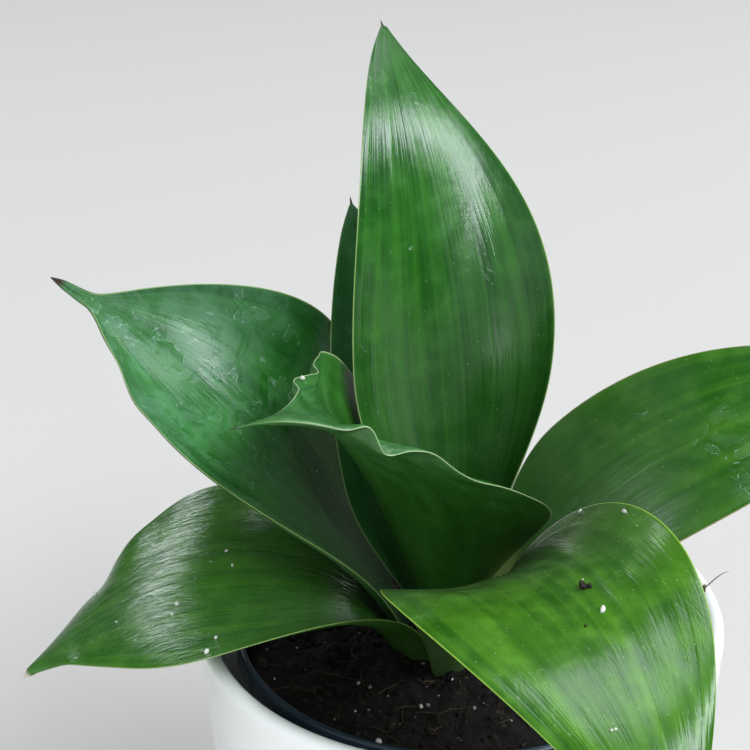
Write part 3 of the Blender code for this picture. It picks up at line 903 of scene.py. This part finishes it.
# %% Shared effect: specks
def build_specks():
    """Small dots of random size: where a random point is nearer than its own radius."""
    n, given, out = new_group("specks", {"Place": None, "Spacing": 0.005, "Radius": 0.06, "Amount": 0.3}, ["Speck"])
    distance, own = n.cells(given["Place"], given["Spacing"])
    near = n.calc("LESS_THAN", distance, n.times(given["Radius"], n.plus(own[0], 0.25)))
    n.feed(out["Speck"], n.times(near, n.calc("LESS_THAN", own[1], given["Amount"])))
    return n.tree


def speckle(n, place, spacing, radius, amount):
    """Specks of one kind, placed in a material; the radius is a share of the spacing."""
    return n.group(specks, {"Place": place, "Spacing": spacing, "Radius": radius, "Amount": amount})["Speck"]


specks = build_specks()
print("shared effects:", sorted(tree.name for tree in (streaks, clouds, water_rings, tide_marks, specks)))


# %% [markdown]
# ### Leaf skin
#
# All leaves share one recipe. Each has its own greens and its own amounts of water
# marks and dust, because the young inner leaves are cleaner and the outer ones have
# collected more. The colour is built up in coats, from the flesh outwards: greens with
# painted shade towards the base, streaks, a pale film and lying dust that are partly a
# painted sheen, then margin and tip, and last the marks that lie on top.

# %% Leaf skin
# The first colour is a pale teal film, partly dried water and partly a painted sheen; the second is lying dust that
# also paints a grey sheen along the crests.
FILM_AND_SHEEN, DUST_AND_SHEEN, WATER_FILM = (0.100, 0.230, 0.140), (0.26, 0.33, 0.20), (0.20, 0.36, 0.24)
PALE_FLESH, UNDERSIDE, BROWN_EDGE = (0.42, 0.50, 0.16), (0.030, 0.120, 0.012), (0.16, 0.045, 0.012)
RING_LIME, TIDE_LIME = (0.40, 0.56, 0.46), (0.36, 0.54, 0.44)
POWDER, SCRATCH, SPECK = (0.50, 0.58, 0.42), (0.55, 0.62, 0.52), (0.70, 0.72, 0.62)


def leaf_skin(name, deep, light, seed, marks=0.4, dust=0.3, haze=0.1, settled=0.08, wrinkles=0.5, relief=1.0,
              grain=1.0, streak_count=7.0, matte_base=0.0, pale_base=0.05, margin=(0.30, 0.42, 0.13),
              edge_brown=0.0, tip=(0.984, 0.996), tip_colour=(0.040, 0.022, 0.010)):
    """The waxy skin of one leaf, read from its place along, across and on which face.

    deep and light are its two greens. marks, dust and the amounts of pale film and settled
    dust say how much lies on it; the pale film and the settled dust are partly a painted
    sheen. wrinkles, relief, grain and streak_count shape its veins; and tip says between
    which places along the leaf the dry point begins.
    """
    material, n, shader = new_material(name, {"Specular IOR Level": 0.52, "IOR": 1.45})
    blade, skin = (n.put("Attribute", attribute_name=key).outputs["Vector"] for key in ("blade", "skin"))
    across, along, under = n.put("SeparateXYZ", {0: blade}).outputs
    from_middle = n.calc("ABSOLUTE", across)
    streak = n.group(streaks, {"Blade": blade, "Across": streak_count, "Along": 1.2, "Seed": seed})
    broad, fine, hair = (streak[key] for key in ("Broad", "Fine", "Hair"))
    cloud, big_cloud = cloudy(n, skin, 0.0065), cloudy(n, skin, 0.022)
    ring = n.group(water_rings, {"Place": skin, "Size": 0.0046, "Amount": marks * 0.7})["Ring"]
    tide = n.group(tide_marks, {"Place": skin, "Size": 0.011, "Amount": marks, "Seed": seed})
    tide_edge, tide_film = tide["Edge"], tide["Film"]
    dot = speckle(n, skin, 0.0042, 0.055, dust * 0.22)
    powder = speckle(n, skin, 0.0011, 0.16, dust * 0.5)
    scratch = speckle(n, n.stretched(skin, (0.35, 1.0, 1.0)), 0.0075, 0.035, dust * 0.25)

    patchy = n.plus(n.spread(cloud, 0.42, 0.72, 0.0, 0.40), n.spread(broad, 0.38, 0.66, 0.0, 0.55))
    patchy = n.calc("ADD", patchy, n.spread(big_cloud, 0.40, 0.70, 0.0, 0.35), clamp=True)
    # Painted sheen: a pale teal film towards the tip, partly dried water and partly a painted sheen on the wax.
    film = n.plus(n.spread(cloud, 0.30, 0.65, 0.30, 0.75), n.times(tide_film, 0.16))
    film = n.times(film, n.spread(n.plus(along, n.times(big_cloud, 0.30)), 0.62, 0.88), haze)
    dry = n.spread(n.plus(along, n.times(fine, 0.008)), *tip)
    colour = n.paint(
        deep,
        # Painted shade: towards the base there is less of the lighter green, and a coat of darker green covers the
        # lowest part. Both stand for the shade between the leaves at the crown.
        (n.times(patchy, n.spread(along, 0.28, 0.66, 0.30, 1.0)), light),
        (n.spread(along, 0.10, 0.34, 0.75 * (1 - pale_base), 0.0), tuple(0.3 * part for part in deep)),
        (n.spread(fine, 0.45, 0.72, 0.0, 0.32 * grain), light),
        (n.spread(hair, 0.50, 0.75, 0.0, 0.20 * grain), light),
        # the pale film: partly dried water, partly painted sheen
        (film, FILM_AND_SHEEN),
        # Painted sheen: lying dust on the lower half of the leaf, partly real dust and partly a painted grey sheen
        # along the crests.
        (n.times(n.spread(along, 0.38, 0.62, settled, 0.0), cloud), DUST_AND_SHEEN),
        (n.spread(n.plus(along, n.times(broad, 0.06)), 0.10, 0.26, pale_base, 0.0), PALE_FLESH),
        (n.times(under, 0.30), UNDERSIDE),
        (n.times(tide_film, 0.04), WATER_FILM),
        (n.times(n.spread(from_middle, 0.986, 0.996), n.spread(along, 0.88, 0.95, 0.62, 0.1)), margin),
        (n.times(n.spread(from_middle, 0.990, 0.997), edge_brown), BROWN_EDGE),
        (dry, tip_colour),
        (n.times(ring, 0.35), RING_LIME),
        (n.times(tide_edge, n.spread(along, 0.40, 0.65, 0.04, 0.30)), TIDE_LIME),
        (n.times(powder, 0.20), POWDER),
        (n.times(scratch, 0.45), SCRATCH),
        (n.times(dot, 0.80), SPECK))

    rough = n.plus(
        n.spread(cloud, 0.3, 0.8, 0.19, 0.28), n.times(ring, 0.15), n.times(tide_film, 0.07), n.times(dot, 0.3),
        n.times(film, 0.16), n.spread(along, 0.38, 0.62, matte_base, 0.0), n.times(under, 0.12), n.times(dry, 0.3))

    crease = n.noise(n.stretched(skin, (620.0, 110.0, 1.0)), 1.0, 3.0, Distortion=1.4)
    veins = n.calc("MULTIPLY_ADD", fine, 0.30 * grain, broad)
    veins = n.times(veins, n.spread(along, 0.25, 0.60, 0.25, 1.0))
    height = n.heights(
        (veins, 0.00028 * relief), (hair, 0.000016), (cloud, 0.00010), (crease, 0.00012 * wrinkles),
        (tide_edge, 0.00004), (tide_film, 0.00002), (ring, 0.00003), (dot, 0.0001))
    n.finish(shader, colour, rough, height)
    return material


LEAF_SKINS = {
    "leaf_tall": dict(
        deep=(0.002, 0.052, 0.0004), light=(0.024, 0.138, 0.008), seed=1.0, marks=0.25, dust=0.2, haze=0.06,
        relief=1.2),
    "leaf_folded": dict(
        deep=(0.003, 0.060, 0.001), light=(0.032, 0.155, 0.010), seed=2.0, marks=0.15, haze=0.3,
        margin=(0.42, 0.50, 0.30)),
    "leaf_back": dict(
        deep=(0.010, 0.085, 0.012), light=(0.035, 0.145, 0.035), seed=3.0, marks=0.2, dust=0.1),
    "leaf_right": dict(
        deep=(0.007, 0.066, 0.0005), light=(0.036, 0.132, 0.004), seed=4.0, haze=0.05, matte_base=0.2, grain=0.6,
        pale_base=0.8, edge_brown=0.7),
    "leaf_upper_left": dict(
        deep=(0.003, 0.068, 0.001), light=(0.028, 0.180, 0.016), seed=5.0, marks=1.0, dust=0.45, haze=0.62,
        wrinkles=0.8, pale_base=0.0, matte_base=0.45, tip=(0.968, 0.986)),
    "leaf_lower_left": dict(
        deep=(0.010, 0.088, 0.0008), light=(0.046, 0.172, 0.003), seed=6.0, marks=0.35, dust=0.7, haze=0.06,
        wrinkles=2.0, tip_colour=(0.60, 0.55, 0.45)),
    "leaf_front": dict(
        deep=(0.010, 0.070, 0.0015), light=(0.066, 0.205, 0.007), seed=7.0, marks=0.2, dust=1.0, haze=0.05,
        settled=0.35, relief=1.2, grain=0.35, streak_count=6.5, margin=(0.34, 0.55, 0.06)),
}
for name, values in LEAF_SKINS.items():
    leaves[name].data.materials.append(leaf_skin(name + "_skin", **values))
print("leaf skins:", len(LEAF_SKINS))

# %% [markdown]
# ### Glaze, plastic, soil and crown
#
# The glaze is white and glossy, with the very slight waviness of a dipped pot and a few
# pinholes. The nursery pot is dark moulded plastic with fine grain and soil dust on it.
# The soil is nearly black, and each crumb and fibre has its own shade of brown. These
# finishes are solid patterns on Object coordinates, so they need no seam.


# %% White glaze
def make_glaze():
    """White, in soft random patches of two slightly warm whites, with orange-peel bumps and rare pinholes."""
    material, n, shader = new_material("white_glaze", {"Coat Weight": 0.4, "Coat Roughness": 0.06})
    place = n.put("TexCoord").outputs["Object"]
    cloud = cloudy(n, place, 0.03)
    pin = speckle(n, place, 0.009, 0.022, 0.35)
    colour = n.paint((0.93, 0.93, 0.92), (cloud, (0.95, 0.95, 0.945)), (n.times(pin, 0.5), (0.42, 0.36, 0.30)))
    peel, wave = n.noise(place, 260.0, 2.0), n.noise(place, 38.0, 1.0)
    height = n.heights((peel, 0.000012), (wave, 0.00006), (pin, -0.00008))
    n.finish(shader, colour, n.spread(cloud, 0.3, 0.7, 0.13, 0.20), height)
    return material


cover_pot.data.materials.append(make_glaze())
print("finish:", cover_pot.data.materials[0].name)


# %% Dark plastic
def make_plastic():
    """Dark blue-black plastic with moulded grain, scuffs, and a film of dried soil."""
    material, n, shader = new_material("nursery_pot_plastic", {})
    place = n.put("TexCoord").outputs["Object"]
    film = n.spread(cloudy(n, place, 0.008), 0.50, 0.72, 0.0, 0.5)
    dust = speckle(n, place, 0.0013, 0.22, 0.35)
    colour = n.paint((0.014, 0.027, 0.044), (film, (0.050, 0.055, 0.060)), (n.times(dust, 0.35), (0.060, 0.040, 0.026)))
    height = n.heights((n.noise(place, 1500.0, 2.0), 0.00003), (dust, 0.00008))
    n.finish(shader, colour, n.plus(0.30, n.times(film, 0.5)), height)
    return material


nursery_pot.data.materials.clear()
nursery_pot.data.materials.append(make_plastic())
print("finish:", nursery_pot.data.materials[0].name)


# %% Soil, crumbs, grit, fibres and twig
def make_soil_finish(name, dark, light, rough, own):
    """Rough matter with dark and lighter patches at two sizes; own gives each loose piece a shade of its own."""
    material, n, shader = new_material(name, {"Specular IOR Level": 0.25})
    place = n.put("TexCoord").outputs["Object"]
    share = n.plus(n.spread(cloudy(n, place, 0.0016), 0.40, 0.75, 0.0, 0.5),
                   n.spread(cloudy(n, place, 0.009), 0.45, 0.75, 0.0, 0.35))
    if own:
        shade = n.put("SeparateXYZ", {0: n.put("Attribute", attribute_name="own").outputs["Vector"]}).outputs[0]
        share = n.calc("ADD", n.times(share, 0.4), n.calc("POWER", shade, 2.2), clamp=True)
    fine, coarse = n.noise(place, 2600.0, 3.0), n.noise(place, 900.0, 4.0)
    colour = n.paint(dark, (share, light), (n.spread(fine, 0.60, 0.72, 0.0, 0.35), light))
    n.finish(shader, colour, rough, n.heights((fine, 0.00008), (coarse, 0.00035)))
    return material


PEAT = (0.0022, 0.0018, 0.0016)
SOIL_FINISHES = {
    "peat": ([soil], PEAT, (0.014, 0.010, 0.007), 0.92),
    "peat_crumbs": ([soil_crumbs], PEAT, (0.030, 0.021, 0.014), 0.92),
    "pale_grit": ([soil_grit], (0.10, 0.09, 0.08), (0.55, 0.52, 0.48), 0.92),
    "peat_fibre": ([peat_fibres], (0.008, 0.005, 0.003), (0.085, 0.058, 0.034), 0.92),
    "pale_chip": ([pale_bits], (0.45, 0.44, 0.40), (0.80, 0.79, 0.74), 0.7),
    "dark_chip": ([dark_bits], (0.004, 0.003, 0.003), (0.05, 0.03, 0.015), 0.6),
    "dry_twig": ([rim_twig, twig_buds], (0.06, 0.035, 0.02), (0.42, 0.36, 0.28), 0.7),
}
for name, (pieces, dark, light, rough) in SOIL_FINISHES.items():
    finish = make_soil_finish(name, dark, light, rough, own=name != "peat")
    for piece in pieces:
        piece.data.materials.append(finish)
print("soil finishes:", len(SOIL_FINISHES))


# %% Crown
def make_crown_finish():
    """The pale fibrous stem base, hidden in the soil between the leaves."""
    material, n, shader = new_material("crown_flesh", {})
    place = n.put("TexCoord").outputs["Object"]
    share = n.spread(n.noise(n.stretched(place, (900.0, 900.0, 90.0)), 1.0, 3.0), 0.35, 0.7)
    n.finish(shader, n.paint((0.22, 0.24, 0.08), (share, (0.42, 0.42, 0.20))), 0.6, n.heights((share, 0.0003)))
    return material


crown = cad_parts["crown"]
crown.data.materials.clear()
crown.data.materials.append(make_crown_finish())
print("finish:", crown.data.materials[0].name)

# %% [markdown]
# ## Floor, light and camera
#
# The plant stands on a plain pale floor. A long, large light at the right and in front
# stands for a window: it gives the waxy leaves their broad, streaky highlights. Smaller
# ones behind and above draw the margins and the tops of the arches, and weak, wide ones
# at the left and in front fill the shadows. One big lamp could light it too, but then
# each leaf would shine in one place only, and the folds would be lost.

# %% Floor
FLOOR_REACH = 7           # the floor ends this far from the plant on each side
floor_mesh = bpy.data.meshes.new("floor")
floor_mesh.from_pydata([(x * FLOOR_REACH, y * FLOOR_REACH, 0) for x, y in ((-1, -1), (1, -1), (1, 1), (-1, 1))],
                       [], [(0, 1, 2, 3)])
floor = bpy.data.objects.new("floor", floor_mesh)
bpy.context.scene.collection.objects.link(floor)
floor_mesh.materials.append(new_material("pale_floor", {"Base Color": (0.56, 0.532, 0.512, 1), "Roughness": 0.7})[0])
print("floor:", 2 * FLOOR_REACH, "m wide")

# %% Lights
LIGHT_DISTANCE, LIGHT_TARGET, LIGHT_COLOUR = 5.0, 0.14, (0.90, 0.965, 1.0)
# azimuth (0 is +X, 90 is +Y) and elevation in degrees, width, height, brightness
LIGHTS = {
    "window": (-34, 45, 6.2, 1.2, 16.0),
    "window_top": (44, 60, 2.4, 2.2, 5.0),
    "back_fill": (121, 36, 1.1, 1.2, 11.0),
    "left_fill": (190, 60, 4.5, 3.5, 0.45),
    "left_low": (200, 22, 6.0, 3.6, 0.7),
    "front_low": (-125, 9, 2.4, 1.4, 2.4),
    "front_fill": (-90, 29, 8.0, 4.8, 0.7),
}


def soft_light(name, azimuth, elevation, width, height, brightness):
    """A flat soft light on a sphere about the plant, looking at its middle.

    Its power is brightness times area times pi, so a reflection of it looks equally
    bright whatever its size.
    """
    light = bpy.data.lights.new(name, "AREA")
    light.shape, light.size, light.size_y = "RECTANGLE", width, height
    light.color, light.energy = LIGHT_COLOUR, brightness * width * height * np.pi
    lamp = bpy.data.objects.new(name, light)
    bpy.context.scene.collection.objects.link(lamp)
    lamp.visible_camera = False
    turn, tilt = radians(azimuth), radians(elevation)
    away = Vector((np.cos(tilt) * np.cos(turn), np.cos(tilt) * np.sin(turn), np.sin(tilt))) * LIGHT_DISTANCE
    lamp.location = Vector((0, 0, LIGHT_TARGET)) + away
    lamp.rotation_euler = (-away).to_track_quat("-Z", "Y").to_euler()


for name, values in LIGHTS.items():
    soft_light(name, *values)
print("lights:", len(LIGHTS))

# %% Pale surroundings
AS_LIGHT, AS_BACKGROUND = 0.14, 0.62    # how bright they are in reflections, and above the floor
world = bpy.data.worlds.new("pale_room")
bpy.context.scene.world = world
world.use_nodes = True
room, backdrop = Nodes(world.node_tree), world.node_tree.nodes["Background"]
backdrop.inputs["Color"].default_value = (0.95, 0.97, 1.0, 1)
seen = room.put("LightPath").outputs["Is Camera Ray"]
room.feed(backdrop.inputs["Strength"],
          room.put("MapRange", {"Value": seen, "To Min": AS_LIGHT, "To Max": AS_BACKGROUND}).outputs["Result"])
bpy.context.scene.view_settings.view_transform = "Standard"
print("surroundings:", AS_LIGHT, "as light,", AS_BACKGROUND, "as background")

# %% Camera
CAMERA_DOWN, CAMERA_ROLL = 23.68, -1.0  # degrees that it looks down and is turned about its axis
camera_data = bpy.data.cameras.new("camera")
camera_data.lens, camera_data.sensor_width = 72, 36
camera_data.clip_start, camera_data.clip_end = 0.01, 50
camera = bpy.data.objects.new("camera", camera_data)
bpy.context.scene.collection.objects.link(camera)
camera.location = (-0.0215, -0.3454, 0.3339)
camera.rotation_mode = "QUATERNION"
tilt = Euler((radians(90 - CAMERA_DOWN), 0, 0)).to_quaternion()
camera.rotation_quaternion = tilt @ Quaternion((0, 0, 1), radians(CAMERA_ROLL))
bpy.context.scene.camera = camera
print("camera:", [round(value, 3) for value in camera.location])
